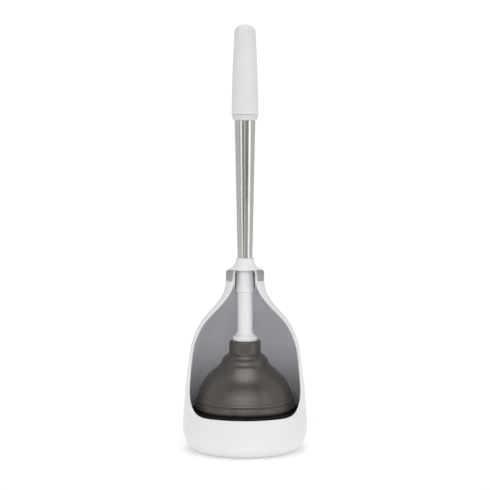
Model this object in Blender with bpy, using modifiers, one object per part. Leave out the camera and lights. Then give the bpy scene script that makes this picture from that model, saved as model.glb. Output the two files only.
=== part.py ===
"""Toilet plunger standing in its open-fronted holder.

The floor is z = 0, and the axis that the plunger and the holder share is the Z axis.
The holder's open side faces -Y. Sizes below are in millimetres, and MM turns them into metres.
The plunger hangs by its collar on the holder's neck, with the lip of its cup just above the drip tray.
"""

import math

import bmesh
import bpy
from mathutils import Vector

MM = 0.001
GAP = 0.3  # between pieces that touch

FINE_STEPS = 36  # sides of the holder's turned pieces
CUP_STEPS = 30
HANDLE_STEPS = 20
SMALL_STEPS = 10

# Handle
HANDLE_TOP = 609.0
GRIP_SHOULDER = 598.5  # where the grip's domed top begins
GRIP_TOP_RADIUS = 15.0
GRIP_BOTTOM = 481.2
GRIP_BOTTOM_RADIUS = 19.2
GRIP_SWELL = 0.7  # how far the grip's side bulges past a straight taper
SLEEVE_WALL = 2.5
FERRULE_BOTTOM = 473.0
FERRULE_BOTTOM_RADIUS = 16.9
TUBE_TOP_RADIUS = 14.9
TUBE_BOTTOM = 268.3
TUBE_BOTTOM_RADIUS = 10.5
TUBE_WALL = 1.0
SPIGOT_BOTTOM = 450.0
ROD_RADIUS = 2.6
ROD_TOP = 588.0
ROD_BOTTOM = 181.0
NUT_POCKET_RADIUS = 8.0
NUT_SEAT = 578.0

# Collar and lower stem
COLLAR_TOP = 276.4
COLLAR_BOTTOM = 259.7
COLLAR_RADIUS = 22.2
STEM_TOP = 264.0
SLEEVE_RADIUS = 12.3
RING_RADIUS = 12.9
RING_TOP = 236.0
RING_BOTTOM = 227.5
STEM_RADIUS = 10.9
FLANGE_RADIUS = 17.9
FLANGE_TOP = 162.3
FLANGE_BOTTOM = 157.3
PLUG_RADIUS = 14.2
PLUG_BOTTOM = 134.3

# Rubber cup
CUP_NECK_RADIUS = 22.8
CUP_NECK_TOP = 157.0
CUP_NECK_BOTTOM = 139.0
CUP_WALL = 4.0
LIP_RADIUS = 72.5
LIP_BOTTOM = 57.7
LIP_TOP = 69.5
WEB_TOP = 134.0
WEB_BOTTOM = 128.5
CUP_SCREW_RADIUS = 2.0

# Holder
SHELL_WALL = 2.5
LINER_WALL = 1.7
NECK_TOP = 259.4
NECK_CAP = 3.8  # thickness of the neck's flat top
NECK_BORE = 16.7
NECK_INSIDE = 24.9
BAND_TOP = 256.4
BAND_BOTTOM = 244.4
BAND_RADIUS = 27.5
BAND_WALL = 0.9
LINER_TOP = 250.0
FLOOR_TOP = 45.0
FLOOR_WALL = 2.0
BASE_BOTTOM = 1.0
BASE_RECESS_RADIUS = 66.0
BASE_LEDGE_RADIUS = 60.0
BASE_LEDGE_BOTTOM = 7.3
BASE_LEDGE_TOP = 9.8
SLOT_HALF_WIDTH = 13.4  # the way out for the stem through the front of the neck
GUIDE_FRONT = 3.0  # how far the guide's two edges stand in front of the axis
GUIDE_BOTTOM = 229.0
GUIDE_RADIUS = 15.9
GUIDE_WALL = 1.5
LINER_SET_BACK = 1.0
TRAY_RADIUS = 80.0
TRAY_TOP = 57.4
TRAY_LEDGE_RADIUS = 63.0
TRAY_WALL = 2.0

# Base
PLATE_BOTTOM = 4.0
PLATE_TOP = 7.0
SCREW_PITCH_RADIUS = 50.0
FOOT_PITCH_RADIUS = 56.0
BOSS_RADIUS = 5.0
BASE_SCREW_RADIUS = 1.8
BASE_SCREW_HEAD_RADIUS = 4.0
BASE_SCREW_TOP = 20.0
FOOT_RADIUS = 8.0
FOOT_STUB_RADIUS = 3.0

# The bell's outer side from the neck band down to the flat ring that it stands near, as (radius, height).
BELL = [
    (27.6, 244.1),
    (28.2, 238.0),
    (30.2, 229.0),
    (34.2, 220.4),
    (42.4, 209.0),
    (52.9, 197.4),
    (62.2, 185.8),
    (68.9, 174.2),
    (73.8, 162.6),
    (77.4, 151.0),
    (80.5, 133.5),
    (83.2, 111.0),
    (86.2, 88.0),
    (87.7, 66.0),
    (89.1, 48.0),
    (89.9, 33.0),
    (88.4, 21.5),
    (84.6, 11.0),
    (79.5, 4.0),
    (73.0, BASE_BOTTOM),
]

# The opening's edge seen from the side, as (distance in front of the axis, height): two cubic curves.
OPENING_SIDE = [(21.6, 262.0), (15.8, 215.0), (14.5, 166.0), (19.5, 125.0)]
OPENING_CORNER = [(19.5, 125.0), (24.0, 88.0), (34.0, 57.0), (68.0, 56.0)]
OPENING_FRONT = (100.0, 56.0)


def smooth(points, parts):
    """Points of a curve through the given points, with the given number of parts between two of them."""
    ends = [points[0]] + list(points) + [points[-1]]
    found = []
    for a, b, c, d in zip(ends, ends[1:], ends[2:], ends[3:]):
        for i in range(parts):
            t = i / parts
            found.append(
                tuple(
                    b[k]
                    + 0.5 * t * (c[k] - a[k])
                    + t * t * (a[k] - 2.5 * b[k] + 2 * c[k] - 0.5 * d[k])
                    + 0.5 * t**3 * (3 * b[k] - a[k] - 3 * c[k] + d[k])
                    for k in (0, 1)
                )
            )
    return found + [points[-1]]


def bezier(knots, parts):
    """Points of the cubic curve with these four knots."""
    found = []
    for i in range(parts + 1):
        t = i / parts
        weights = ((1 - t) ** 3, 3 * t * (1 - t) ** 2, 3 * t * t * (1 - t), t**3)
        found.append(tuple(sum(w * k[n] for w, k in zip(weights, knots)) for n in (0, 1)))
    return found


def arc(centre, radii, start, end, parts):
    """Points on an ellipse's arc, from the angle start to the angle end in degrees."""
    angles = (math.radians(start + (end - start) * i / parts) for i in range(parts + 1))
    return [(centre[0] + radii[0] * math.cos(a), centre[1] + radii[1] * math.sin(a)) for a in angles]


def inset(points, distance):
    """The outline moved towards the inside of a piece whose outer side it runs down."""
    found = []
    for i, (r, z) in enumerate(points):
        before = points[max(i - 1, 0)]
        after = points[min(i + 1, len(points) - 1)]
        along = Vector((after[0] - before[0], after[1] - before[1])).normalized()
        found.append((r + along.y * distance, z - along.x * distance))
    return found


def at_height(points, z):
    """The radius at a height, on an outline that runs down."""
    for (r0, z0), (r1, z1) in zip(points, points[1:]):
        if z1 <= z <= z0:
            return r0 + (r1 - r0) * (z0 - z) / (z0 - z1)
    raise ValueError(f"the outline doesn't reach {z}")


def under_skin(distance, top, low):
    """The line at a distance under the holder's outer side, from the height top down to the height low."""
    line = inset(BELL, distance)
    neck = NECK_INSIDE + SHELL_WALL - distance
    inside = [p for p in line if low + 1.0 < p[1] < BAND_BOTTOM - 8.0]
    return [(neck, top), (neck, BAND_BOTTOM - 3.0)] + inside + [(at_height(line, low), low)]


def grip_outline(parts):
    """The grip's side, from its shoulder down to its lower end."""
    found = []
    for i in range(parts + 1):
        t = i / parts
        r = GRIP_TOP_RADIUS + (GRIP_BOTTOM_RADIUS - GRIP_TOP_RADIUS) * t
        r += GRIP_SWELL * math.sin(math.pi * t)
        found.append((r, GRIP_SHOULDER + (GRIP_BOTTOM - GRIP_SHOULDER) * t))
    return found


def tube_radius(z):
    share = (z - TUBE_BOTTOM) / (FERRULE_BOTTOM - TUBE_BOTTOM)
    return TUBE_BOTTOM_RADIUS + (TUBE_TOP_RADIUS - TUBE_BOTTOM_RADIUS) * share


def clear_scene():
    for obj in list(bpy.data.objects):
        bpy.data.objects.remove(obj)


def new_collection(name, hidden=False):
    collection = bpy.data.collections.new(name)
    bpy.context.scene.collection.children.link(collection)
    collection.hide_render = hidden
    return collection


def plastic(name, colour, roughness, metallic=0.0):
    material = bpy.data.materials.new(name)
    material.use_nodes = True
    shader = material.node_tree.nodes["Principled BSDF"]
    shader.inputs["Base Color"].default_value = (*colour, 1.0)
    shader.inputs["Roughness"].default_value = roughness
    shader.inputs["Metallic"].default_value = metallic
    material.diffuse_color = (*colour, 1.0)
    return material


def turned(name, outline, steps, collection, closed=False):
    """A piece turned from its outline of (radius, height), which runs down its outer side."""
    mesh = bpy.data.meshes.new(name)
    edges = [(i, i + 1) for i in range(len(outline) - 1)]
    if closed:
        edges.append((len(outline) - 1, 0))
    mesh.from_pydata([(r * MM, 0, z * MM) for r, z in outline], edges, [])
    obj = bpy.data.objects.new(name, mesh)
    collection.objects.link(obj)
    screw = obj.modifiers.new("turn", "SCREW")
    screw.steps = steps
    screw.render_steps = steps
    screw.use_merge_vertices = True
    screw.merge_threshold = 0.00001
    return obj


def upright(name, radius, bottom, top, sides, place, collection):
    """A round bar from the height bottom to the height top, at place."""
    build = bmesh.new()
    bmesh.ops.create_cone(
        build,
        cap_ends=True,
        segments=sides,
        radius1=radius * MM,
        radius2=radius * MM,
        depth=(top - bottom) * MM,
    )
    return from_bmesh(name, build, (place[0], place[1], (top + bottom) / 2), collection)


def box(name, low, high, collection):
    build = bmesh.new()
    bmesh.ops.create_cube(build, size=1.0)
    sizes = [(b - a) * MM for a, b in zip(low, high)]
    bmesh.ops.scale(build, vec=sizes, verts=build.verts)
    return from_bmesh(name, build, [(a + b) / 2 for a, b in zip(low, high)], collection)


def from_bmesh(name, build, centre, collection):
    mesh = bpy.data.meshes.new(name)
    bmesh.ops.recalc_face_normals(build, faces=build.faces)
    build.to_mesh(mesh)
    build.free()
    obj = bpy.data.objects.new(name, mesh)
    obj.location = [c * MM for c in centre]
    collection.objects.link(obj)
    return obj


def opening_cutter(name, set_back, collection):
    """What the holder's open front takes away: the side outline of the opening, drawn right across."""
    edge = bezier(OPENING_SIDE, 7)[:-1] + bezier(OPENING_CORNER, 9) + [OPENING_FRONT]
    edge = [(d - set_back, z - set_back) for d, z in edge]
    outline = edge + [(OPENING_FRONT[0], OPENING_SIDE[0][1])]
    half_width = 100.0
    build = bmesh.new()
    corners = [build.verts.new((-half_width * MM, -d * MM, z * MM)) for d, z in outline]
    face = build.faces.new(corners)
    moved = bmesh.ops.extrude_face_region(build, geom=[face])["geom"]
    new_verts = [v for v in moved if isinstance(v, bmesh.types.BMVert)]
    bmesh.ops.translate(build, vec=(2 * half_width * MM, 0, 0), verts=new_verts)
    return from_bmesh(name, build, (0, 0, 0), collection)


def combine(obj, operation, other):
    """Adds a Boolean of obj with another object, or with all those of a collection."""
    boolean = obj.modifiers.new(operation.lower(), "BOOLEAN")
    boolean.operation = operation
    boolean.solver = "EXACT"
    if isinstance(other, bpy.types.Collection):
        boolean.operand_type = "COLLECTION"
        boolean.collection = other
    else:
        boolean.object = other


def finish(obj, material):
    """Keeps the shape that the modifiers make, with round sides shaded smooth and edges left sharp."""
    graph = bpy.context.evaluated_depsgraph_get()
    mesh = bpy.data.meshes.new_from_object(obj.evaluated_get(graph))
    obj.modifiers.clear()
    obj.data = mesh
    mesh.name = obj.name
    mesh.shade_smooth()
    mesh.set_sharp_from_angle(angle=math.radians(32))
    mesh.materials.clear()
    mesh.materials.append(material)


def around(count, radius, first_angle):
    """The places of count pieces on a circle, in millimetres."""
    angles = (math.radians(first_angle + 360 / count * i) for i in range(count))
    return [(radius * math.cos(a), radius * math.sin(a)) for a in angles]


def make_handle(parts, colours):
    side = grip_outline(8)
    dome = arc((0, GRIP_SHOULDER), (GRIP_TOP_RADIUS, HANDLE_TOP - GRIP_SHOULDER), 90, 0, 6)
    inner = [(r - SLEEVE_WALL, z) for r, z in side]
    inner_top = GRIP_SHOULDER + 4.0
    inside = list(reversed(inner)) + [(inner[0][0] - 1.5, inner_top), (0, inner_top)]
    sleeve = turned("grip_sleeve", [(0, HANDLE_TOP)] + dome[1:-1] + side + inside, HANDLE_STEPS, parts)
    finish(sleeve, colours["grip"])

    core_top = NUT_SEAT + 12.0
    core_side = [(at_height(inner, core_top) - GAP, core_top)]
    core_side += [(r - GAP, z) for r, z in inner if GRIP_BOTTOM < z < core_top - 1]
    ferrule_top = GRIP_BOTTOM - GAP
    core = [(NUT_POCKET_RADIUS, core_top)] + core_side
    core += [(inner[-1][0] - GAP, ferrule_top), (GRIP_BOTTOM_RADIUS - 0.2, ferrule_top)]
    core += [(GRIP_BOTTOM_RADIUS - 0.4, ferrule_top - 1.0), (17.6, 476.0)]
    core += [(FERRULE_BOTTOM_RADIUS, FERRULE_BOTTOM)]
    core += [(tube_radius(z) - TUBE_WALL - GAP, z) for z in (FERRULE_BOTTOM, SPIGOT_BOTTOM)]
    core += [(ROD_RADIUS + GAP, SPIGOT_BOTTOM), (ROD_RADIUS + GAP, NUT_SEAT), (NUT_POCKET_RADIUS, NUT_SEAT)]
    finish(turned("grip_core", core, HANDLE_STEPS, parts, closed=True), colours["ferrule"])

    tube_top = FERRULE_BOTTOM - GAP
    tube = [(tube_radius(tube_top), tube_top), (tube_radius(TUBE_BOTTOM), TUBE_BOTTOM)]
    tube += [(r - TUBE_WALL, z) for r, z in reversed(tube)]
    finish(turned("shaft_tube", tube, HANDLE_STEPS, parts, closed=True), colours["steel"])

    rod = upright("tie_rod", ROD_RADIUS, ROD_BOTTOM, ROD_TOP, SMALL_STEPS, (0, 0), parts)
    finish(rod, colours["hardware"])
    washer_top = NUT_SEAT + GAP + 1.2
    washer = ring_outline(ROD_RADIUS + GAP, 6.5, NUT_SEAT + GAP, washer_top)
    finish(turned("tie_washer", washer, SMALL_STEPS, parts, closed=True), colours["hardware"])
    nut_bore = (ROD_RADIUS + GAP) / math.cos(math.radians(30))  # a six-sided bore clears the round rod
    nut = ring_outline(nut_bore, 5.2, washer_top + GAP, washer_top + GAP + 4.5)
    finish(turned("tie_nut", nut, 6, parts, closed=True), colours["hardware"])


def ring_outline(inner, outer, bottom, top):
    return [(inner, top), (outer, top), (outer, bottom), (inner, bottom)]


def make_collar_and_stem(parts, colours):
    bore = ROD_RADIUS + GAP
    socket = tube_radius(COLLAR_TOP) + GAP
    collar = [(socket, COLLAR_TOP), (12.2, COLLAR_TOP), (13.1, COLLAR_TOP - 0.9)]
    collar += smooth([(13.5, 270.5), (15.3, 266.8), (17.6, 263.9), (20.6, 261.6), (COLLAR_RADIUS, 260.5)], 2)
    collar += [(COLLAR_RADIUS, COLLAR_BOTTOM), (SLEEVE_RADIUS + GAP, COLLAR_BOTTOM)]
    collar += [(SLEEVE_RADIUS + GAP, STEM_TOP + GAP), (bore, STEM_TOP + GAP)]
    collar += [(bore, TUBE_BOTTOM - GAP), (socket, TUBE_BOTTOM - GAP)]
    finish(turned("rest_collar", collar, HANDLE_STEPS, parts, closed=True), colours["white"])

    screw_hole = CUP_SCREW_RADIUS + GAP
    stem = [(0, ROD_BOTTOM - 1), (bore, ROD_BOTTOM - 1), (bore, STEM_TOP), (SLEEVE_RADIUS, STEM_TOP)]
    stem += [(SLEEVE_RADIUS, RING_TOP + 0.4), (RING_RADIUS, RING_TOP), (RING_RADIUS, RING_BOTTOM + 0.8)]
    stem += [(STEM_RADIUS, RING_BOTTOM)]
    stem += smooth([(STEM_RADIUS, 172.0), (12.2, 167.2), (15.0, 164.0), (17.3, FLANGE_TOP)], 2)
    stem += [(FLANGE_RADIUS, FLANGE_TOP - 0.8), (FLANGE_RADIUS, FLANGE_BOTTOM), (PLUG_RADIUS, FLANGE_BOTTOM)]
    stem += [(PLUG_RADIUS, PLUG_BOTTOM), (screw_hole, PLUG_BOTTOM), (screw_hole, 152.0), (0, 152.0)]
    finish(turned("lower_stem", stem, HANDLE_STEPS, parts), colours["white"])

    washer_top = WEB_BOTTOM - GAP
    washer = ring_outline(screw_hole, 12.0, washer_top - 1.6, washer_top)
    finish(turned("cup_washer", washer, SMALL_STEPS, parts, closed=True), colours["hardware"])
    head_top = washer_top - 1.6 - GAP
    screw = [(0, 151.0), (CUP_SCREW_RADIUS, 151.0), (CUP_SCREW_RADIUS, head_top)]
    screw += [(5.0, head_top)] + arc((0, head_top - 1.0), (5.0, 2.6), 0, -90, 3)[:-1] + [(0, head_top - 3.6)]
    finish(turned("cup_screw", screw, SMALL_STEPS, parts), colours["hardware"])


def make_cup(parts, colours):
    """The rubber cup: a thick neck, a stepped shoulder, the bell and its flared lip, in one moulding."""
    shoulder = [(23.4, CUP_NECK_BOTTOM), (29.3, 134.6), (33.0, 129.6), (34.4, 126.0), (36.2, 122.6)]
    bell = [(39.2, 119.4), (46.4, 113.4), (55.3, 104.4), (61.4, 95.5), (66.3, 84.5), (68.4, 76.5)]
    lip = [(70.4, 73.2), (72.1, LIP_TOP), (LIP_RADIUS, 65.0), (LIP_RADIUS - 0.4, 61.5)]
    outer = shoulder + smooth(bell, 2) + lip
    inner = [(34.0, 119.5)] + inset(smooth(bell, 2), CUP_WALL)[3:]
    socket = PLUG_RADIUS + GAP
    hole = CUP_SCREW_RADIUS + GAP
    cup = [(socket, CUP_NECK_TOP), (CUP_NECK_RADIUS - 2.4, CUP_NECK_TOP)]
    cup += [(CUP_NECK_RADIUS, CUP_NECK_TOP - 2.4)]
    cup += [(CUP_NECK_RADIUS, CUP_NECK_BOTTOM + 1.0)] + outer
    cup += [(LIP_RADIUS - 1.8, LIP_BOTTOM), (LIP_RADIUS - 5.2, LIP_BOTTOM), (LIP_RADIUS - 6.4, 60.0)]
    cup += [(LIP_RADIUS - 6.6, 68.0)] + list(reversed(inner)) + [(27.0, 124.0), (18.0, WEB_BOTTOM)]
    cup += [(hole, WEB_BOTTOM), (hole, WEB_TOP), (socket, WEB_TOP)]
    finish(turned("rubber_cup", cup, CUP_STEPS, parts, closed=True), colours["rubber"])


def make_shell(parts, cutters, colours):
    recess = BAND_RADIUS - BAND_WALL - GAP
    cap_top = arc((recess - 3.0, NECK_TOP - 2.8), (3.0, 2.8), 90, 0, 3)
    outer = [(NECK_BORE, NECK_TOP)] + cap_top + [(recess, BAND_BOTTOM - GAP)] + BELL
    inner = under_skin(SHELL_WALL, NECK_TOP - NECK_CAP, BASE_LEDGE_TOP)
    base = [(BASE_RECESS_RADIUS, BASE_BOTTOM), (BASE_RECESS_RADIUS, BASE_LEDGE_BOTTOM)]
    base += [(BASE_LEDGE_RADIUS, BASE_LEDGE_BOTTOM), (BASE_LEDGE_RADIUS, BASE_LEDGE_TOP)]
    cap_bottom = [(NECK_BORE, NECK_TOP - NECK_CAP)]
    outline = outer + base + list(reversed(inner)) + cap_bottom
    shell = turned("outer_shell", outline, FINE_STEPS, parts, closed=True)
    opening = opening_cutter("opening_cutter", 0.0, cutters)
    slot_low = (-SLOT_HALF_WIDTH, -40, BAND_BOTTOM - 6)
    slot = box("slot_cutter", slot_low, (SLOT_HALF_WIDTH, -0.1, NECK_TOP + 5), cutters)
    combine(shell, "DIFFERENCE", opening)
    combine(shell, "DIFFERENCE", slot)
    finish(shell, colours["white"])
    return opening, slot


def make_neck_trim(parts, cutters, opening, colours):
    band = ring_outline(BAND_RADIUS - BAND_WALL, BAND_RADIUS, BAND_BOTTOM, BAND_TOP)
    band = turned("neck_band", band, FINE_STEPS, parts, closed=True)
    combine(band, "DIFFERENCE", opening)
    finish(band, colours["band"])

    bore = GUIDE_RADIUS - GUIDE_WALL
    under_cap = NECK_TOP - NECK_CAP - GAP
    guide = [(bore, NECK_TOP - 0.5), (NECK_BORE - GAP, NECK_TOP - 0.5), (NECK_BORE - GAP, under_cap)]
    guide += [(20.0, under_cap), (20.0, under_cap - 1.8), (GUIDE_RADIUS, under_cap - 1.8)]
    guide += [(GUIDE_RADIUS, GUIDE_BOTTOM), (bore, GUIDE_BOTTOM)]
    guide = turned("neck_guide", guide, FINE_STEPS, parts, closed=True)
    front = box("guide_cutter", (-30, -40, GUIDE_BOTTOM - 5), (30, -GUIDE_FRONT, NECK_TOP + 5), cutters)
    combine(guide, "DIFFERENCE", front)
    finish(guide, colours["white"])


def make_liner(parts, cutters, slot, colours):
    """The grey inner skin with its floor, and the four bosses under the floor that the base screws hold."""
    floor_bottom = FLOOR_TOP - FLOOR_WALL
    outer = under_skin(SHELL_WALL + GAP, LINER_TOP, floor_bottom)
    inner = under_skin(SHELL_WALL + GAP + LINER_WALL, LINER_TOP, FLOOR_TOP)
    liner = [(0, FLOOR_TOP)] + list(reversed(inner)) + outer[:-1]
    liner += [(outer[-1][0], floor_bottom + 2.0), (outer[-1][0] - 2.0, floor_bottom), (0, floor_bottom)]
    liner = turned("inner_liner", liner, FINE_STEPS, parts)
    bosses = bpy.data.collections.new("liner_bosses")
    cutters.children.link(bosses)
    pilots = bpy.data.collections.new("liner_pilot_holes")
    cutters.children.link(pilots)
    for i, place in enumerate(around(4, SCREW_PITCH_RADIUS, 0)):
        upright(f"boss_{i + 1}", BOSS_RADIUS, BASE_LEDGE_BOTTOM, FLOOR_TOP - 1.0, SMALL_STEPS, place, bosses)
        radius = BASE_SCREW_RADIUS + GAP
        upright(f"pilot_{i + 1}", radius, BASE_LEDGE_BOTTOM - 5, BASE_SCREW_TOP + 2, 8, place, pilots)
    combine(liner, "UNION", bosses)
    combine(liner, "DIFFERENCE", pilots)
    combine(liner, "DIFFERENCE", opening_cutter("liner_opening_cutter", LINER_SET_BACK, cutters))
    combine(liner, "DIFFERENCE", slot)
    finish(liner, colours["liner"])


def make_tray(parts, colours):
    """A shallow dish with a raised ledge round it, under the lip of the cup."""
    bottom = FLOOR_TOP + GAP
    tray = [(0, bottom + TRAY_WALL), (TRAY_LEDGE_RADIUS, bottom + TRAY_WALL)]
    tray += [(TRAY_LEDGE_RADIUS + 1, TRAY_TOP)]
    tray += [(TRAY_RADIUS - 1, TRAY_TOP), (TRAY_RADIUS, TRAY_TOP - 1), (TRAY_RADIUS, bottom)]
    tray += [(TRAY_RADIUS - TRAY_WALL, bottom), (TRAY_RADIUS - TRAY_WALL, TRAY_TOP - TRAY_WALL)]
    tray += [(TRAY_LEDGE_RADIUS + 3, TRAY_TOP - TRAY_WALL), (TRAY_LEDGE_RADIUS + 2, bottom), (0, bottom)]
    finish(turned("drip_tray", tray, CUP_STEPS, parts), colours["black"])


def make_base(parts, cutters, colours):
    radius = BASE_RECESS_RADIUS - GAP
    plate = turned("base_plate", disc_outline(radius, PLATE_BOTTOM, PLATE_TOP), FINE_STEPS, parts)
    holes = bpy.data.collections.new("plate_holes")
    cutters.children.link(holes)
    for i, place in enumerate(around(4, SCREW_PITCH_RADIUS, 0)):
        radius = BASE_SCREW_RADIUS + GAP
        upright(f"screw_hole_{i + 1}", radius, PLATE_BOTTOM - 2, PLATE_TOP + 2, SMALL_STEPS, place, holes)
        head_top = PLATE_BOTTOM - GAP
        shape = disc_outline(BASE_SCREW_RADIUS, head_top, BASE_SCREW_TOP)[:-1]
        shape += [(BASE_SCREW_HEAD_RADIUS, head_top), (BASE_SCREW_HEAD_RADIUS, head_top - 1.2)]
        shape += [(BASE_SCREW_HEAD_RADIUS - 1, head_top - 2.0), (0, head_top - 2.0)]
        screw = turned(f"base_screw_{i + 1}", shape, SMALL_STEPS, parts)
        screw.location = (place[0] * MM, place[1] * MM, 0)
        finish(screw, colours["hardware"])
    for i, place in enumerate(around(4, FOOT_PITCH_RADIUS, 45)):
        radius = FOOT_STUB_RADIUS + GAP
        upright(f"foot_hole_{i + 1}", radius, PLATE_BOTTOM - 2, PLATE_TOP + 2, SMALL_STEPS, place, holes)
        seat = PLATE_BOTTOM - GAP
        shape = disc_outline(FOOT_STUB_RADIUS, seat, PLATE_TOP - 0.5)[:-1]
        shape += [(FOOT_RADIUS, seat), (FOOT_RADIUS, 0.8), (FOOT_RADIUS - 0.8, 0), (0, 0)]
        foot = turned(f"foot_{i + 1}", shape, SMALL_STEPS, parts)
        foot.location = (place[0] * MM, place[1] * MM, 0)
        finish(foot, colours["rubber_foot"])
    combine(plate, "DIFFERENCE", holes)
    finish(plate, colours["black"])


def disc_outline(radius, bottom, top):
    return [(0, top), (radius, top), (radius, bottom), (0, bottom)]


def main():
    clear_scene()
    parts = new_collection("toilet_plunger")
    cutters = new_collection("cutters", hidden=True)
    colours = {
        "white": plastic("white_plastic", (0.80, 0.80, 0.81), 0.35),
        "grip": plastic("white_grip", (0.78, 0.78, 0.79), 0.45),
        "ferrule": plastic("white_ferrule", (0.72, 0.72, 0.73), 0.40),
        "steel": plastic("brushed_steel", (0.60, 0.58, 0.56), 0.28, 1.0),
        "band": plastic("steel_band", (0.42, 0.41, 0.38), 0.45, 1.0),
        "hardware": plastic("zinc_hardware", (0.55, 0.55, 0.55), 0.40, 1.0),
        "rubber": plastic("taupe_rubber", (0.085, 0.075, 0.068), 0.50),
        "rubber_foot": plastic("grey_rubber", (0.20, 0.20, 0.20), 0.70),
        "liner": plastic("grey_liner", (0.78, 0.78, 0.79), 0.42),
        "black": plastic("black_plastic", (0.02, 0.02, 0.02), 0.50),
    }
    make_handle(parts, colours)
    make_collar_and_stem(parts, colours)
    make_cup(parts, colours)
    opening, slot = make_shell(parts, cutters, colours)
    make_neck_trim(parts, cutters, opening, colours)
    make_liner(parts, cutters, slot, colours)
    make_tray(parts, colours)
    make_base(parts, cutters, colours)
    for obj in cutters.all_objects:
        obj.hide_render = True
        obj.display_type = "WIRE"


main()
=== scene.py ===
"""The looks of the toilet plunger and its holder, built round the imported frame.

The frame is in metres: the floor is z = 0, the plunger and the holder share the Z axis, and the holder opens
to -Y. Outlines here are in millimetres. A point is (radius, height), or (radius, height, rounding) at a
rounded corner, and an outline runs down the outer side of its piece.
"""

import math

import bmesh
import bpy
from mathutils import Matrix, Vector


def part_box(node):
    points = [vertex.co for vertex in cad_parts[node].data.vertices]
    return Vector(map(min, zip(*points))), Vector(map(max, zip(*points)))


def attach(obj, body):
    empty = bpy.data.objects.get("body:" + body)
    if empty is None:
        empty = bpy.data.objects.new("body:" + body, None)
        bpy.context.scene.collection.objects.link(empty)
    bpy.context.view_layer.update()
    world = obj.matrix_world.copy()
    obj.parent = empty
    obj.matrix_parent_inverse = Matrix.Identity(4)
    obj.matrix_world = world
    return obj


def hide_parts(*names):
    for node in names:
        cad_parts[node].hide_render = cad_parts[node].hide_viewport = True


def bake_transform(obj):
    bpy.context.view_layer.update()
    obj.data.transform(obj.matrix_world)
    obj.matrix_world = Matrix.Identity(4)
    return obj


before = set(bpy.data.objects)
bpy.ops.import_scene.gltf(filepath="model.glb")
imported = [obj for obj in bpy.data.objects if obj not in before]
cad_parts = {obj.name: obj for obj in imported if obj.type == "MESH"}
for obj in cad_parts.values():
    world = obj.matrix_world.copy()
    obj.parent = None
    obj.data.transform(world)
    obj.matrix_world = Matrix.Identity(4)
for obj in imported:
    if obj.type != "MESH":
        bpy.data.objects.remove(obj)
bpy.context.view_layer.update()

MM = 0.001
GAP = 0.3  # between pieces that touch
BELL_STEPS = 216  # columns round the holder, leaving out its open front
FRONT_STEPS = 60  # columns across the low front of the holder
TURN_STEPS = 144
SMALL_STEPS = 48
CORNER_PARTS = 4
FEATHER_COLUMNS = 5  # over which the liner thins to its front edge
SHARP_ANGLE = 38  # degrees: a sharper edge than this isn't shaded smooth
BEVEL_ANGLE = 50  # degrees: a sharper edge than this gets rounded

# The holder's outer side from the neck down to the ring that it nearly stands on.
BELL = [
    (27.6, 244.1), (28.2, 238.0), (30.2, 229.0), (34.2, 220.4), (42.4, 209.0), (52.9, 197.4), (62.2, 185.8),
    (68.9, 174.2), (73.8, 162.6), (77.4, 151.0), (80.5, 133.5), (83.2, 111.0), (86.2, 88.0), (87.7, 66.0),
    (89.1, 48.0), (89.9, 33.0), (88.4, 21.5), (84.6, 11.0), (79.5, 4.0), (73.0, 1.0),
]
# The edge of the open front seen from the side, as (distance in front of the axis, height): two cubics.
EDGE_SIDE = [(21.6, 262.0), (15.8, 215.0), (14.5, 166.0), (19.5, 125.0)]
EDGE_CORNER = [(19.5, 125.0), (24.0, 88.0), (34.0, 56.8), (68.0, 55.8)]
SHELL_WALL = 2.5
LINER_WALL = 1.7
LINER_SET_BACK = 1.0
LINER_THINNING = 1.35  # at its front edge
SLOT_HALF_WIDTH = 13.4
SLOT_BOTTOM = 238.4
NECK_INSIDE = 24.9  # radius
NECK_BORE = 16.7
NECK_CAP = 3.8
FLOOR_WALL = 2.0


def span(node):
    """(radius, bottom, top) of a turned CAD node, in millimetres."""
    low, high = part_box(node)
    return high.x / MM, low.z / MM, high.z / MM


def between(a, b, t):
    return a + (b - a) * t


def bezier(knots, parts):
    """Points of the cubic curve with these four knots."""
    found = []
    for i in range(parts + 1):
        t = i / parts
        weights = ((1 - t) ** 3, 3 * t * (1 - t) ** 2, 3 * t * t * (1 - t), t**3)
        found.append(tuple(sum(w * k[n] for w, k in zip(weights, knots)) for n in (0, 1)))
    return found


def smooth(points, parts):
    """Points of a curve through the given points, with the given number of parts between two of them."""
    ends = [points[0]] + list(points) + [points[-1]]
    found = []
    for a, b, c, d in zip(ends, ends[1:], ends[2:], ends[3:]):
        for i in range(parts):
            t = i / parts
            found.append(
                tuple(
                    b[k]
                    + 0.5 * t * (c[k] - a[k])
                    + t * t * (a[k] - 2.5 * b[k] + 2 * c[k] - 0.5 * d[k])
                    + 0.5 * t**3 * (3 * b[k] - a[k] - 3 * c[k] + d[k])
                    for k in (0, 1)
                )
            )
    return found + [tuple(points[-1])]


def arc(centre, radii, start, end, parts):
    """Points on an ellipse's arc, from the angle start to the angle end in degrees."""
    angles = (math.radians(between(start, end, i / parts)) for i in range(parts + 1))
    return [(centre[0] + radii[0] * math.cos(a), centre[1] + radii[1] * math.sin(a)) for a in angles]


def rounded(outline, closed=False):
    """The outline with each corner that gives a rounding cut off by a small curve."""
    found = []
    count = len(outline)
    for i, point in enumerate(outline):
        here = Vector(point[:2])
        at_end = not closed and i in (0, count - 1)
        if len(point) == 2 or at_end:
            found.append(tuple(here))
            continue
        ways = [Vector(outline[j % count][:2]) - here for j in (i - 1, i + 1)]
        cuts = [here + way.normalized() * min(point[2], 0.45 * way.length) for way in ways]
        for k in range(CORNER_PARTS + 1):
            t = k / CORNER_PARTS
            found.append(tuple(cuts[0] * (1 - t) ** 2 + here * 2 * t * (1 - t) + cuts[1] * t * t))
    return found


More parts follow.
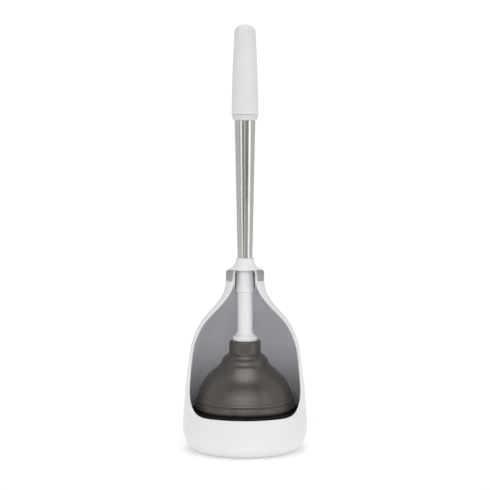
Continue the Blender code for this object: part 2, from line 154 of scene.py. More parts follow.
def inset(points, distance):
    """The outline moved towards the inside of a piece whose outer side it runs down."""
    found = []
    for i, (r, z) in enumerate(points):
        before = points[max(i - 1, 0)]
        after = points[min(i + 1, len(points) - 1)]
        along = Vector((after[0] - before[0], after[1] - before[1])).normalized()
        found.append((r + along.y * distance, z - along.x * distance))
    return found


def at_height(points, z):
    """The first number of each point, read at a height, on an outline that runs down."""
    for (r0, z0), (r1, z1) in zip(points, points[1:]):
        if z1 <= z <= z0:
            return between(r0, r1, (z0 - z) / (z0 - z1)) if z0 > z1 else r0
    return points[0][0] if z > points[0][1] else points[-1][0]


# ---------------------------------------------------------------- materials


class Nodes:
    """Builds a material's nodes, with a short call for each kind."""

    def __init__(self, name):
        self.material = bpy.data.materials.new(name)
        self.material.use_nodes = True
        self.tree = self.material.node_tree
        self.shader = self.tree.nodes["Principled BSDF"]
        self.place = self.tree.nodes.new("ShaderNodeTexCoord").outputs["Object"]

    def link(self, source, target):
        self.tree.links.new(source, target)

    def new(self, kind, inputs=(), **settings):
        node = self.tree.nodes.new(kind)
        for key, value in settings.items():
            setattr(node, key, value)
        for key, value in dict(inputs).items():
            if isinstance(value, bpy.types.NodeSocket):
                self.link(value, node.inputs[key])
            else:
                node.inputs[key].default_value = value
        return node

    def noise(self, scale, detail=3.0, stretch=(1, 1, 1), roughness=0.5):
        """Noise of that many grains to the metre, stretched along an axis where its number is under 1."""
        place = self.new("ShaderNodeVectorMath", {0: self.place, 1: stretch}, operation="MULTIPLY")
        inputs = {"Vector": place.outputs[0], "Scale": scale, "Detail": detail, "Roughness": roughness}
        return self.new("ShaderNodeTexNoise", inputs).outputs["Fac"]

    def spread(self, source, low, high):
        """The source, which is noise round a half, spread from low to high."""
        inputs = {"Value": source, "From Min": 0.3, "From Max": 0.7, "To Min": low, "To Max": high}
        return self.new("ShaderNodeMapRange", inputs).outputs["Result"]

    def mix(self, share, first, second):
        inputs = {"Factor": share, 6: (*first, 1.0), 7: (*second, 1.0)}
        return self.new("ShaderNodeMix", inputs, data_type="RGBA").outputs[2]

    def add(self, first, second, share):
        """The first number, with a share of the second added."""
        inputs = {0: second, 1: share, 2: first}
        return self.new("ShaderNodeMath", inputs, operation="MULTIPLY_ADD").outputs[0]

    def bump(self, height, strength, distance):
        inputs = {"Height": height, "Strength": strength, "Distance": distance}
        self.link(self.new("ShaderNodeBump", inputs).outputs["Normal"], self.shader.inputs["Normal"])

    def put(self, socket, value):
        if isinstance(value, bpy.types.NodeSocket):
            self.link(value, self.shader.inputs[socket])
        else:
            self.shader.inputs[socket].default_value = value


def moulded(name, colour, dark, roughness, grain=2600, depth=0.00002, coat=0.0, gloss=0.5):
    """A moulded plastic: a fine spark-eroded grain, slow drifts of tone, and a patchy gloss."""
    nodes = Nodes(name)
    drift = nodes.noise(22, 4)
    fine = nodes.noise(grain, 2)
    nodes.put("Base Color", nodes.mix(nodes.spread(drift, 0, 1), dark, colour))
    nodes.put("Roughness", nodes.spread(nodes.add(drift, fine, 0.35), roughness - 0.05, roughness + 0.06))
    nodes.put("Specular IOR Level", gloss)
    nodes.put("Coat Weight", coat)
    nodes.put("Coat Roughness", 0.18)
    nodes.bump(nodes.add(fine, nodes.noise(60, 2), 2.0), 0.25, depth)
    return nodes.material


def brushed(name, colour, dark, roughness, stretch, grain=2400, anisotropic=0.0):
    """A brushed metal: long fine scratches, in a few widths, in colour, gloss and height."""
    nodes = Nodes(name)
    fine = nodes.noise(grain, 3, stretch, 0.6)
    broad = nodes.noise(grain / 5, 3, stretch, 0.6)
    streaks = nodes.add(fine, broad, 0.8)
    nodes.put("Metallic", 1.0)
    nodes.put("Base Color", nodes.mix(nodes.spread(streaks, 0, 1), dark, colour))
    nodes.put("Roughness", nodes.spread(broad, roughness - 0.05, roughness + 0.08))
    nodes.put("Anisotropic", anisotropic)
    nodes.bump(streaks, 0.30, 0.00001)
    return nodes.material


def rubber(name, colour, dark, roughness, grain=900):
    """A moulded rubber: a cloudy tone, small specks, and a satin surface that isn't quite even."""
    nodes = Nodes(name)
    cloud = nodes.noise(35, 5, roughness=0.6)
    fine = nodes.noise(grain, 4)
    nodes.put("Base Color", nodes.mix(nodes.spread(nodes.add(cloud, fine, 0.4), 0, 1), dark, colour))
    nodes.put("Roughness", nodes.spread(cloud, roughness - 0.06, roughness + 0.08))
    nodes.put("Specular IOR Level", 0.80)
    nodes.bump(nodes.add(fine, cloud, 3.0), 0.35, 0.00003)
    return nodes.material


def zinc(name):
    """Zinc plate: small crystals that differ a little in tone and gloss."""
    nodes = Nodes(name)
    crystals = nodes.new("ShaderNodeTexVoronoi", {"Vector": nodes.place, "Scale": 1400}).outputs["Color"]
    tone = nodes.new("ShaderNodeSeparateColor", {"Color": crystals}).outputs["Red"]
    nodes.put("Metallic", 1.0)
    nodes.put("Base Color", nodes.mix(tone, (0.42, 0.43, 0.45), (0.62, 0.62, 0.60)))
    nodes.put("Roughness", nodes.spread(nodes.noise(300, 3), 0.28, 0.45))
    nodes.bump(tone, 0.2, 0.00001)
    return nodes.material


MATERIALS = {
    "grip": moulded("soft_white_grip", (0.80, 0.80, 0.81), (0.77, 0.77, 0.78), 0.42, 1800, 0.00004),
    # A little darker than the other whites: white plastic, toned down as painted shade for the shadow on the
    # ring under the grip.
    "ferrule": moulded("white_ferrule", (0.72, 0.72, 0.72), (0.69, 0.69, 0.69), 0.36),
    "white": moulded("gloss_white_plastic", (0.78, 0.78, 0.79), (0.76, 0.76, 0.77), 0.30, coat=0.3),
    "stem": moulded("white_stem_plastic", (0.82, 0.82, 0.83), (0.79, 0.79, 0.80), 0.34, coat=0.2),
    "steel": brushed("brushed_steel", (0.71, 0.695, 0.67), (0.53, 0.51, 0.485), 0.19, (1, 1, 0.012)),
    "band": brushed("dull_steel_band", (0.46, 0.45, 0.42), (0.34, 0.33, 0.31), 0.42, (0.05, 0.05, 1)),
    "cup": rubber("taupe_rubber", (0.053, 0.042, 0.034), (0.040, 0.032, 0.026), 0.32),
    "foot": rubber("grey_foot_rubber", (0.20, 0.20, 0.20), (0.15, 0.15, 0.15), 0.70),
    "liner": moulded("grey_liner_plastic", (0.81, 0.81, 0.85), (0.78, 0.78, 0.82), 0.42, 1500, 0.00003),
    # Near-black with little gloss. On the drip tray under the cup's lip this is painted shade standing in
    # for the deep gap between the lip and the liner. On the base plate it is the plate's own black plastic.
    "black": moulded(
        "black_plastic", (0.006, 0.006, 0.006), (0.004, 0.004, 0.004), 0.50, 900, 0.00006, gloss=0.2
    ),
    "zinc": zinc("zinc_plate"),
}


# ---------------------------------------------------------------- shapes


def new_piece(name, build, material, body, nodes, merge=1e-7):
    """Ends a piece: a closed mesh in metres, shaded smooth but for its sharp edges, that rides on a body."""
    bmesh.ops.remove_doubles(build, verts=build.verts, dist=merge)
    bmesh.ops.recalc_face_normals(build, faces=build.faces)
    mesh = bpy.data.meshes.new(name)
    build.to_mesh(mesh)
    build.free()
    mesh.shade_smooth()
    mesh.set_sharp_from_angle(angle=math.radians(SHARP_ANGLE))
    mesh.materials.append(MATERIALS[material])
    piece = bpy.data.objects.new(name, mesh)
    bpy.context.scene.collection.objects.link(piece)
    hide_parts(*nodes)
    if isinstance(body, str):
        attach(piece, body)
    return piece


def weighted(piece):
    """Keeps broad flat faces looking flat beside their rounded edges."""
    modifier = piece.modifiers.new("weighted", "WEIGHTED_NORMAL")
    modifier.keep_sharp = True
    return piece


def turned(outline, steps, closed=False, place=(0.0, 0.0)):
    """A bmesh turned from an outline, round an upright line at place."""
    build = bmesh.new()
    points = rounded(outline, closed)
    verts = [build.verts.new(((place[0] + r) * MM, place[1] * MM, z * MM)) for r, z in points]
    pairs = list(zip(verts, verts[1:])) + ([(verts[-1], verts[0])] if closed else [])
    edges = [build.edges.new(pair) for pair in pairs]
    centre = (place[0] * MM, place[1] * MM, 0)
    full = 2 * math.pi
    bmesh.ops.spin(
        build, geom=verts + edges, cent=centre, axis=(0, 0, 1), angle=full, steps=steps, use_merge=True
    )
    return build


def around(radius, height, start, columns):
    """Points on a circle, from the angle start beside the front, round the back, to the other side."""
    turns = (between(start, 2 * math.pi - start, k / columns) for k in range(columns + 1))
    return [Vector((radius * math.sin(a), -radius * math.cos(a), height)) * MM for a in turns]


def ring(build, radius, height, turns):
    """A ring's points, one at each angle from the front."""
    places = ((radius * MM * math.sin(a), -radius * MM * math.cos(a), height * MM) for a in turns)
    return [build.verts.new(place) for place in places]


def skin(build, rows):
    """Faces between each row of points and the next."""
    for upper, lower in zip(rows, rows[1:]):
        for k in range(len(upper) - 1):
            build.faces.new([upper[k], upper[k + 1], lower[k + 1], lower[k]])


def start_angle(radius, depth, height):
    """How far round from the front the material starts, given the depth of the open front's edge."""
    start = math.acos(depth / radius) if radius > depth else 0.0
    if height > SLOT_BOTTOM:
        start = max(start, math.asin(min(1.0, SLOT_HALF_WIDTH / radius)))
    return start


def cut_ring(outline, depth_at, columns, half_width=0.0):
    """A bmesh turned from a closed outline, less what lies before depth_at(height) or in a half width."""
    build = bmesh.new()
    rows = []
    for r, z in rounded(outline, closed=True):
        start = max(math.acos(min(1.0, depth_at(z) / r)), math.asin(min(1.0, half_width / r)))
        rows.append([build.verts.new(p) for p in around(r, z, start, columns)])
    skin(build, rows + rows[:1])
    for end in (0, -1):
        build.faces.new([row[end] for row in rows])
    return build


def feathered(points, thinning):
    """Moves a row's two ends outwards, so that the skin thins towards the edge of the open front."""
    for k, point in enumerate(points):
        share = max(0.0, 1.0 - min(k, BELL_STEPS - k) / FEATHER_COLUMNS)
        outwards = Vector((point.x, point.y, 0)).normalized()
        point += outwards * thinning * share * MM
    return points


def bell_row(build, radius_at, radius, depth, height, back_height, thinning):
    """One row of an open bell's side. Its middle, at the back, may be at another height than its ends."""
    points = around(radius, height, start_angle(radius, depth, height), BELL_STEPS)
    if back_height != height:
        for k, point in enumerate(points):
            z = between(height, back_height, math.sin(math.pi * k / BELL_STEPS) ** 2)
            flat = Vector((point.x, point.y)).normalized() * radius_at(z) * MM
            points[k] = Vector((flat.x, flat.y, z * MM))
    return [build.verts.new(p) for p in feathered(points, thinning)]


def open_bell(sides, top, rim, low_sides, foot, thinning=0.0):
    """A bmesh of a bell's skin with an open front.

    sides is the outer and the inner side's radius by height, and top the outline points from a shared first
    point over to each side. rim is the open front's edge as (depth, height, outer radius, inner radius).
    low_sides is the heights of the rows under the edge, by side, and foot the outline from the outer side's
    lower end to the inner's. thinning is how much the inner side nears the outer side at the front edge.
    """
    build = bmesh.new()
    corner_top = EDGE_CORNER[0][1]
    corner_rows = [row for row in rim if row[1] < corner_top]
    lowest = rim[-1][1]
    strips = []
    rings = []
    first = None
    for side in (0, 1):
        rows = []
        for r, z in top[side]:
            depth = at_height([row[:2] for row in rim], z)
            points = around(r, z, start_angle(r, depth, z), BELL_STEPS)
            rows.append([build.verts.new(p) for p in points])
        if first is None:
            first = rows[0]
        else:
            for vert in rows[0]:
                build.verts.remove(vert)
            rows[0] = first
        for depth, z, *radii in rim:
            back = z
            if z < corner_top:
                index = corner_rows.index((depth, z, *radii)) + 1
                back = between(corner_top, lowest, index / len(corner_rows))
            rows.append(bell_row(build, sides[side], radii[side], depth, z, back, thinning * side))
        skin(build, rows)
        strips.append([[row[end] for row in rows] for end in (0, -1)])
        last_start = start_angle(rim[-1][2 + side], rim[-1][0], lowest)
        last_turn = 2 * math.pi - last_start
        turns = [between(last_start, last_turn, k / BELL_STEPS) for k in range(BELL_STEPS + 1)]
        turns += [2 * math.pi + last_start * (2 * f / FRONT_STEPS - 1) for f in range(1, FRONT_STEPS)]
        base = Vector((0, 0, lowest * MM))
        front = []
        for a in turns[BELL_STEPS + 1 :]:
            point = Vector((math.sin(a), -math.cos(a), 0)) * rim[-1][2 + side] * MM + base
            front.append(build.verts.new(point))
        low_rings = [rows[-1] + front]
        for z in low_sides[side]:
            low_rings.append(ring(build, sides[side](z), z, turns))
        rings.append((low_rings, turns))
    tops = [len(points) for points in top]
    for end in (0, 1):
        outer = strips[0][end]
        inner = strips[1][end]
        cap = outer[: tops[0] + 1] + list(reversed(inner[1 : tops[1] + 1]))
        build.faces.new(cap)
        for j in range(len(rim) - 1):
            a = tops[0] + j
            b = tops[1] + j
            build.faces.new([outer[a], outer[a + 1], inner[b + 1], inner[b]])
    lip = [low_rings[0] for low_rings, turns in rings]
    for f in range(BELL_STEPS, BELL_STEPS + FRONT_STEPS):
        g = (f + 1) % len(lip[0])
        build.faces.new([lip[0][f], lip[0][g], lip[1][g], lip[1][f]])
    outer_rings, turns = rings[0]
    inner_rings = rings[1][0]
    foot_rings = []
    for r, z in foot:
        if r > 0:
            foot_rings.append(ring(build, r, z, turns))
        else:
            foot_rings.append([build.verts.new((0, 0, z * MM))] * len(turns))
    loop = outer_rings + foot_rings + list(reversed(inner_rings))
    for upper, lower in zip(loop, loop[1:]):
        for k in range(len(turns)):
            n = (k + 1) % len(turns)
            corners = list(dict.fromkeys([upper[k], upper[n], lower[n], lower[k]]))
            if len(corners) > 2:
                build.faces.new(corners)
    return build


def bevelled(piece, width, segments=3):
    """Rounds the piece's sharp edges."""
    modifier = piece.modifiers.new("edges", "BEVEL")
    modifier.width = width * MM
    modifier.segments = segments
    modifier.limit_method = "ANGLE"
    modifier.angle_limit = math.radians(BEVEL_ANGLE)
    modifier.use_clamp_overlap = False
    modifier.miter_outer = "MITER_ARC"
    return piece


# ---------------------------------------------------------------- the plunger

GRIP_RADIUS, GRIP_BOTTOM, GRIP_TOP = span("grip_sleeve")
TUBE_TOP_RADIUS, TUBE_BOTTOM, TUBE_TOP = span("shaft_tube")
TUBE_BOTTOM_RADIUS = 10.5
TUBE_WALL = 1.0
FERRULE_BOTTOM = 473.0
STEM_SLEEVE = 12.3  # radius of the stem inside the collar
PLUG_RADIUS = 14.2  # of the stem inside the cup's neck
SCREW_RADIUS = 2.0  # of the screw through the cup
SCREW_HOLE = SCREW_RADIUS + GAP
COLLAR_RADIUS, COLLAR_BOTTOM, COLLAR_TOP = span("rest_collar")
FLANGE_RADIUS, PLUG_BOTTOM, STEM_TOP = span("lower_stem")
LIP_RADIUS, LIP_BOTTOM, CUP_TOP = span("rubber_cup")
ROD_RADIUS, ROD_BOTTOM, _ = span("tie_rod")
GRIP_SHOULDER = GRIP_TOP - 10.5
GRIP_TOP_RADIUS = 15.0
GRIP_SWELL = 0.7
SLEEVE_WALL = 2.5


def tube_radius(z):
    return between(TUBE_BOTTOM_RADIUS, TUBE_TOP_RADIUS, (z - TUBE_BOTTOM) / (TUBE_TOP - TUBE_BOTTOM))


def grip_side(parts):
    """The grip's outer side, from its shoulder down: a slow taper with a slight swell."""
    found = []
    for i in range(parts + 1):
        t = i / parts
        r = between(GRIP_TOP_RADIUS, GRIP_RADIUS, t) + GRIP_SWELL * math.sin(math.pi * t)
        found.append((r, between(GRIP_SHOULDER, GRIP_BOTTOM, t)))
    return found


def make_grip():
    side = grip_side(40)
    dome = arc((0, GRIP_SHOULDER), (GRIP_TOP_RADIUS, GRIP_TOP - GRIP_SHOULDER), 90, 0, 20)
    inner = [(r - SLEEVE_WALL, z) for r, z in side]
    inner_top = GRIP_SHOULDER + 4.0
    outline = dome[:-1] + side[:-1] + [(*side[-1], 0.8), (*inner[-1], 0.4)]
    outline += list(reversed(inner[:-1])) + [(inner[0][0] - 1.5, inner_top), (0, inner_top)]
    build = turned(outline, TURN_STEPS)
    return new_piece("grip_cover", build, "grip", "plunger", ["grip_sleeve"])


def make_ferrule():
    """The grip's inner core, whose lower end shows as a tapered ring between the grip and the tube."""
    # The ring's material is toned darker than the grip as painted shade for the shadow under the grip.
    inner = [(r - SLEEVE_WALL - GAP, z) for r, z in grip_side(12)]
    nut_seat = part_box("tie_washer")[0].z / MM - GAP
    core_bottom, core_top = (corner.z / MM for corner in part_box("grip_core"))
    top = GRIP_BOTTOM - GAP
    bore = ROD_RADIUS + GAP
    pocket = 8.0
    outline = [(pocket, core_top), (at_height(inner, core_top), core_top, 0.5)]
    outline += [p for p in inner if top + 2 < p[1] < core_top - 2]
    outline += [(inner[-1][0], top), (GRIP_RADIUS - 0.2, top, 0.6), (18.5, 479.0), (17.6, 476.0)]
    low = tube_radius(FERRULE_BOTTOM)
    outline += [(low + 2.0, FERRULE_BOTTOM, 0.5), (low - TUBE_WALL - GAP, FERRULE_BOTTOM)]
    outline += [(tube_radius(core_bottom) - TUBE_WALL - GAP, core_bottom, 0.5), (bore, core_bottom)]
    outline += [(bore, nut_seat), (pocket, nut_seat)]
    build = turned(outline, TURN_STEPS, closed=True)
    return new_piece("grip_ferrule", build, "ferrule", "plunger", ["grip_core"])


def make_tube():
    rings = 24
    heights = [between(TUBE_TOP, TUBE_BOTTOM, i / rings) for i in range(rings + 1)]
    outline = [(tube_radius(z), z) for z in heights]
    outline += [(tube_radius(z) - TUBE_WALL, z) for z in reversed(heights)]
    build = turned(outline, TURN_STEPS, closed=True)
    return new_piece("steel_tube", build, "steel", "plunger", ["shaft_tube"])


def make_collar():
    socket = tube_radius(COLLAR_TOP) + GAP
    bore = ROD_RADIUS + GAP
    sleeve = STEM_SLEEVE + GAP
    flare = [(13.1, COLLAR_TOP - 0.9), (13.5, 270.5), (15.3, 266.8), (17.6, 263.9), (20.6, 261.6)]
    outline = [(socket, COLLAR_TOP, 0.25), (STEM_SLEEVE, COLLAR_TOP, 0.8)] + smooth(flare, 5)
    outline += [(COLLAR_RADIUS, 260.6, 0.6), (COLLAR_RADIUS, COLLAR_BOTTOM, 0.3), (sleeve, COLLAR_BOTTOM)]
    outline += [(sleeve, STEM_TOP + GAP), (bore, STEM_TOP + GAP), (bore, TUBE_BOTTOM - GAP)]
    outline += [(socket, TUBE_BOTTOM - GAP)]
    build = turned(outline, TURN_STEPS, closed=True)
    piece = new_piece("flared_collar", build, "stem", "plunger", ["rest_collar"])
    return weighted(piece)


def make_stem():
    bore = ROD_RADIUS + GAP
    raised = STEM_SLEEVE + 0.6
    body, ring_radius = 10.9, 13.15
    ring_top, ring_bottom, flange_bottom = 236.0, 227.5, CUP_TOP + GAP
    flare = [(body, 174.0), (11.2, 170.0), (12.4, 167.0), (14.8, 164.3), (17.2, 162.5)]
    outline = [(0, ROD_BOTTOM - 1), (bore, ROD_BOTTOM - 1), (bore, STEM_TOP), (STEM_SLEEVE, STEM_TOP, 0.4)]
    outline += [(STEM_SLEEVE, COLLAR_BOTTOM - 1.0), (raised, COLLAR_BOTTOM - 1.6, 0.3)]
    outline += [(raised, ring_top + 0.4, 0.3), (ring_radius, ring_top, 0.5)]
    outline += [(ring_radius, ring_bottom + 0.7, 0.6), (body, ring_bottom, 0.5), (body, 200.0)]
    outline += smooth(flare, 5)
    outline += [(FLANGE_RADIUS, 161.6, 0.7), (FLANGE_RADIUS, 159.6), (FLANGE_RADIUS - 0.35, 159.1)]
    outline += [(FLANGE_RADIUS - 0.3, flange_bottom, 0.5), (PLUG_RADIUS, flange_bottom)]
    outline += [(PLUG_RADIUS, PLUG_BOTTOM, 0.4), (SCREW_HOLE, PLUG_BOTTOM)]
    outline += [(SCREW_HOLE, 152.0), (0, 152.0)]
    build = turned(outline, TURN_STEPS)
    piece = new_piece("white_stem", build, "stem", "plunger", ["lower_stem"])
    return weighted(piece)


def make_cup():
    """The rubber cup in one moulding, its place baked into its mesh and on no body."""
    wall = 4.0
    socket = PLUG_RADIUS + GAP
    neck = 22.8
    web_top, web_bottom = 134.0, 128.5
    shoulder = [(24.6, 138.4), (29.3, 134.9), (31.8, 131.6), (33.2, 128.8), (34.4, 125.2), (36.0, 122.4)]
    bell = [(39.2, 119.6), (46.4, 113.4), (55.3, 104.4), (61.4, 95.5), (66.3, 84.5), (68.3, 77.4)]
    lip = [(69.0, 75.0, 0.8), (70.3, 73.9, 0.8), (71.2, 71.2, 0.8), (70.3, 69.4, 0.4), (71.3, 68.3, 0.6)]
    lip += [(LIP_RADIUS, 61.6, 1.2), (LIP_RADIUS - 1.3, LIP_BOTTOM, 1.4)]
    inner_bell = inset(smooth(bell, 6), wall)[8:]
    outline = [(socket, CUP_TOP, 0.4), (neck, CUP_TOP, 2.6), (neck, 140.2, 0.5), (23.2, 138.9, 0.5)]
    outline += smooth(shoulder, 5)[:-1] + [(36.4, 121.9, 0.5), (37.0, 121.2, 0.5)]
    outline += smooth(bell, 6)[:-1] + lip + [(LIP_RADIUS - 5.2, LIP_BOTTOM, 0.8)]
    outline += [(LIP_RADIUS - 6.6, 61.0, 1.0), (LIP_RADIUS - 6.8, 68.0, 1.0)]
    outline += list(reversed(inner_bell)) + [(34.5, 118.5), (27.0, 124.0, 2.0), (18.0, web_bottom, 2.0)]
    outline += [(SCREW_HOLE, web_bottom), (SCREW_HOLE, web_top), (socket, web_top)]
    build = turned(outline, TURN_STEPS + 48, closed=True)
    piece = new_piece("cup_bell", build, "cup", None, ["rubber_cup"])
    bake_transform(piece)
    return piece


def make_cup_fastening():
    """The washer and the screw under the rubber, which hold the cup to the stem."""
    radius, bottom, top = span("cup_washer")
    washer = [(SCREW_HOLE, top), (radius, top, 0.3), (radius, bottom, 0.4), (SCREW_HOLE, bottom)]
    build = turned(washer, SMALL_STEPS, closed=True)
    new_piece("stem_washer", build, "zinc", "plunger", ["cup_washer"])
    head, head_bottom, screw_top = span("cup_screw")
    head_top = bottom - GAP
    screw = [(0, screw_top), (1.2, screw_top), (SCREW_RADIUS, screw_top - 2.0)]
    screw += [(SCREW_RADIUS, head_top), (head, head_top, 0.2)]
    screw += arc((0, head_top - 1.0), (head, head_top - 1.0 - head_bottom), 0, -90, 10)
    build = turned(screw, SMALL_STEPS)
    new_piece("stem_screw", build, "zinc", "plunger", ["cup_screw"])


# ---------------------------------------------------------------- the holder

_, SHELL_BOTTOM, NECK_TOP = span("outer_shell")
BAND_RADIUS, BAND_BOTTOM, _ = span("neck_band")
_, _, LINER_TOP = span("inner_liner")
TRAY_RADIUS, TRAY_BOTTOM, TRAY_TOP = span("drip_tray")
FLOOR_TOP = TRAY_BOTTOM - GAP
BAND_WALL = 0.9
BAND_SHOULDER = 23.4  # radius where the band's top edge lies on the neck
BAND_GAP = 34.0  # at its open front
EDGE = bezier(EDGE_SIDE, 30)[:-1] + bezier(EDGE_CORNER, 34)
SIDE = smooth(BELL, 8)


def edge_depth(z):
    return at_height(EDGE, z)


def side_under(distance):
    """The radius by height of the surface at a distance under the holder's outer side."""
    line = [p for p in inset(SIDE, distance) if p[1] < BAND_BOTTOM - 8.0]
    line = [(NECK_INSIDE + SHELL_WALL - distance, BAND_BOTTOM - 3.0)] + line
    return lambda z: at_height(line, z)


def make_shell():
    inner = side_under(SHELL_WALL)
    recess = BAND_RADIUS - BAND_WALL - GAP
    step = BAND_BOTTOM - GAP
    under_cap = NECK_TOP - NECK_CAP

    def outer(z):
        return recess if z > step else at_height(SIDE, z)

    rim = []
    for depth, z in EDGE:
        if z > under_cap - 1.0:
            continue
        if z <= step and rim and rim[-1][1] > step:
            rim.append((edge_depth(step), step, recess, inner(step)))
            rim.append((edge_depth(step), step, SIDE[0][0], inner(step)))
        if abs(z - step) > 0.5:
            rim.append((depth, z, outer(z), inner(z)))
    rim.insert(0, (edge_depth(under_cap), under_cap, recess, NECK_INSIDE))
    turn = BAND_RADIUS - BAND_SHOULDER
    seat = turn - BAND_WALL - GAP
    shoulder = arc((BAND_SHOULDER, NECK_TOP - turn), (seat, seat), 90, 0, 6)
    lip = BAND_SHOULDER - GAP
    top_outer = [(NECK_BORE, under_cap), (NECK_BORE, NECK_TOP), (lip, NECK_TOP), (lip, shoulder[0][1])]
    top_outer += shoulder
    top_inner = [(NECK_BORE, under_cap), (20.8, under_cap)]
    low_outer = [z for r, z in SIDE if 1.0 < z < EDGE[-1][1] - 2.0]
    low_inner = [50.0, 44.0, 38.0, 32.0, 27.0, 23.0, 19.0, 16.0, 13.0, 9.8]
    plate = span("base_plate")
    recess_radius = plate[0] + GAP
    recess_top = plate[2] + GAP
    foot = [(BELL[-1][0], SHELL_BOTTOM), (recess_radius, SHELL_BOTTOM), (recess_radius, recess_top)]
    foot += [(60.0, recess_top), (60.0, 9.8)]
    build = open_bell((outer, inner), (top_outer, top_inner), rim, (low_outer, low_inner), foot)
    piece = new_piece("bell_shell", build, "white", "holder", ["outer_shell"])
    return weighted(bevelled(piece, 0.45))


def make_liner():
    outer = side_under(SHELL_WALL + GAP)
    inner = side_under(SHELL_WALL + GAP + LINER_WALL)
    rim = []
    for depth, z in EDGE:
        d, h = depth - LINER_SET_BACK, z - LINER_SET_BACK
        if h < LINER_TOP - 2.0:
            rim.append((d, h, outer(h), inner(h)))
    top_outer = [(inner(LINER_TOP), LINER_TOP), (outer(LINER_TOP), LINER_TOP)]
    top_inner = top_outer[:1]
    floor_bottom = FLOOR_TOP - FLOOR_WALL
    low_outer = [52.0, 49.0, floor_bottom + 2.0]
    low_inner = [52.0, 49.0, FLOOR_TOP]
    foot = [(outer(floor_bottom) - 2.0, floor_bottom), (0, floor_bottom), (0, FLOOR_TOP)]
    sides = (outer, inner)
    build = open_bell(sides, (top_outer, top_inner), rim, (low_outer, low_inner), foot, LINER_THINNING)
    piece = new_piece("grey_lining", build, "liner", "holder", ["inner_liner"])
    return weighted(bevelled(piece, 0.1, 2))


def make_band():
    turn = BAND_RADIUS - BAND_SHOULDER
    low = NECK_TOP - turn
    outline = arc((BAND_SHOULDER, low), (turn, turn), 90, 0, 8)
    outline += [(BAND_RADIUS, BAND_BOTTOM, 0.25), (BAND_RADIUS - BAND_WALL, BAND_BOTTOM)]
    outline += arc((BAND_SHOULDER, low), (turn - BAND_WALL, turn - BAND_WALL), 0, 90, 8)
    build = cut_ring(outline, edge_depth, 160, BAND_GAP / 2)
    return new_piece("steel_neck_band", build, "band", "holder", ["neck_band"])


def make_guide():
    """The sleeve inside the neck, open at the front, that the stem slides into."""
    guide_bottom, guide_top = (corner.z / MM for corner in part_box("neck_guide"))
    front = -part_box("neck_guide")[0].y / MM
    under_cap = NECK_TOP - NECK_CAP - GAP
    bore, outside, flange = 14.8, 15.9, 20.0
    outline = [(bore, guide_top, 0.4), (NECK_BORE - GAP, guide_top, 0.3), (NECK_BORE - GAP, under_cap)]
    outline += [(flange, under_cap), (flange, under_cap - 1.8, 0.4), (outside, under_cap - 1.8)]
    outline += [(outside, guide_bottom, 0.4), (bore, guide_bottom, 0.4)]
    build = cut_ring(outline, lambda z: front, 96)
    piece = new_piece("neck_sleeve", build, "white", "holder", ["neck_guide"])
    return weighted(piece)


def make_tray():
    # The tray's near-black colour is painted shade. It fills the dark gap under the cup's lip, and the tray
    # is made wide so that it reaches the liner.
    wall = 2.0
    ledge = 63.0
    dish = TRAY_BOTTOM + wall
    outline = [(0, dish), (ledge - 1.5, dish, 1.0), (ledge + 1.0, TRAY_TOP, 1.2)]
    outline += [(TRAY_RADIUS, TRAY_TOP, 1.0), (TRAY_RADIUS, TRAY_BOTTOM, 0.4)]
    outline += [(TRAY_RADIUS - wall, TRAY_BOTTOM)]
    outline += [(TRAY_RADIUS - wall, TRAY_TOP - wall), (ledge + 3.0, TRAY_TOP - wall)]
    outline += [(ledge + 0.5, TRAY_BOTTOM, 0.6), (0, TRAY_BOTTOM)]
    build = turned(outline, TURN_STEPS)
    piece = new_piece("drip_tray_painted_shade", build, "black", "holder", ["drip_tray"])
    return weighted(piece)


def middle(node):
    """Where a node's upright axis stands, in millimetres."""
    low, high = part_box(node)
    return (low.x + high.x) / 2 / MM, (low.y + high.y) / 2 / MM


def cross_recess(piece, place, bottom, size, depth):
    """Cuts a cross into the lower face of a screw's head."""
    build = bmesh.new()
    for long, short in ((size, size / 4), (size / 4, size)):
        made = bmesh.ops.create_cube(build, size=1.0)["verts"]
        bmesh.ops.scale(build, vec=(long * MM, short * MM, 2 * depth * MM), verts=made)
    centre = Vector((place[0], place[1], bottom)) * MM
    bmesh.ops.translate(build, vec=centre, verts=build.verts)
    mesh = bpy.data.meshes.new("cross_cutter")
    build.to_mesh(mesh)
    build.free()
    cutter = bpy.data.objects.new("cross_cutter", mesh)
    bpy.context.scene.collection.objects.link(cutter)
    boolean = piece.modifiers.new("cross", "BOOLEAN")
    boolean.operation = "DIFFERENCE"
    boolean.solver = "EXACT"
    boolean.use_self = True
    boolean.object = cutter
    graph = bpy.context.evaluated_depsgraph_get()
    cut = bpy.data.meshes.new_from_object(piece.evaluated_get(graph))
    piece.modifiers.clear()
    piece.data = cut
    bpy.data.objects.remove(cutter)


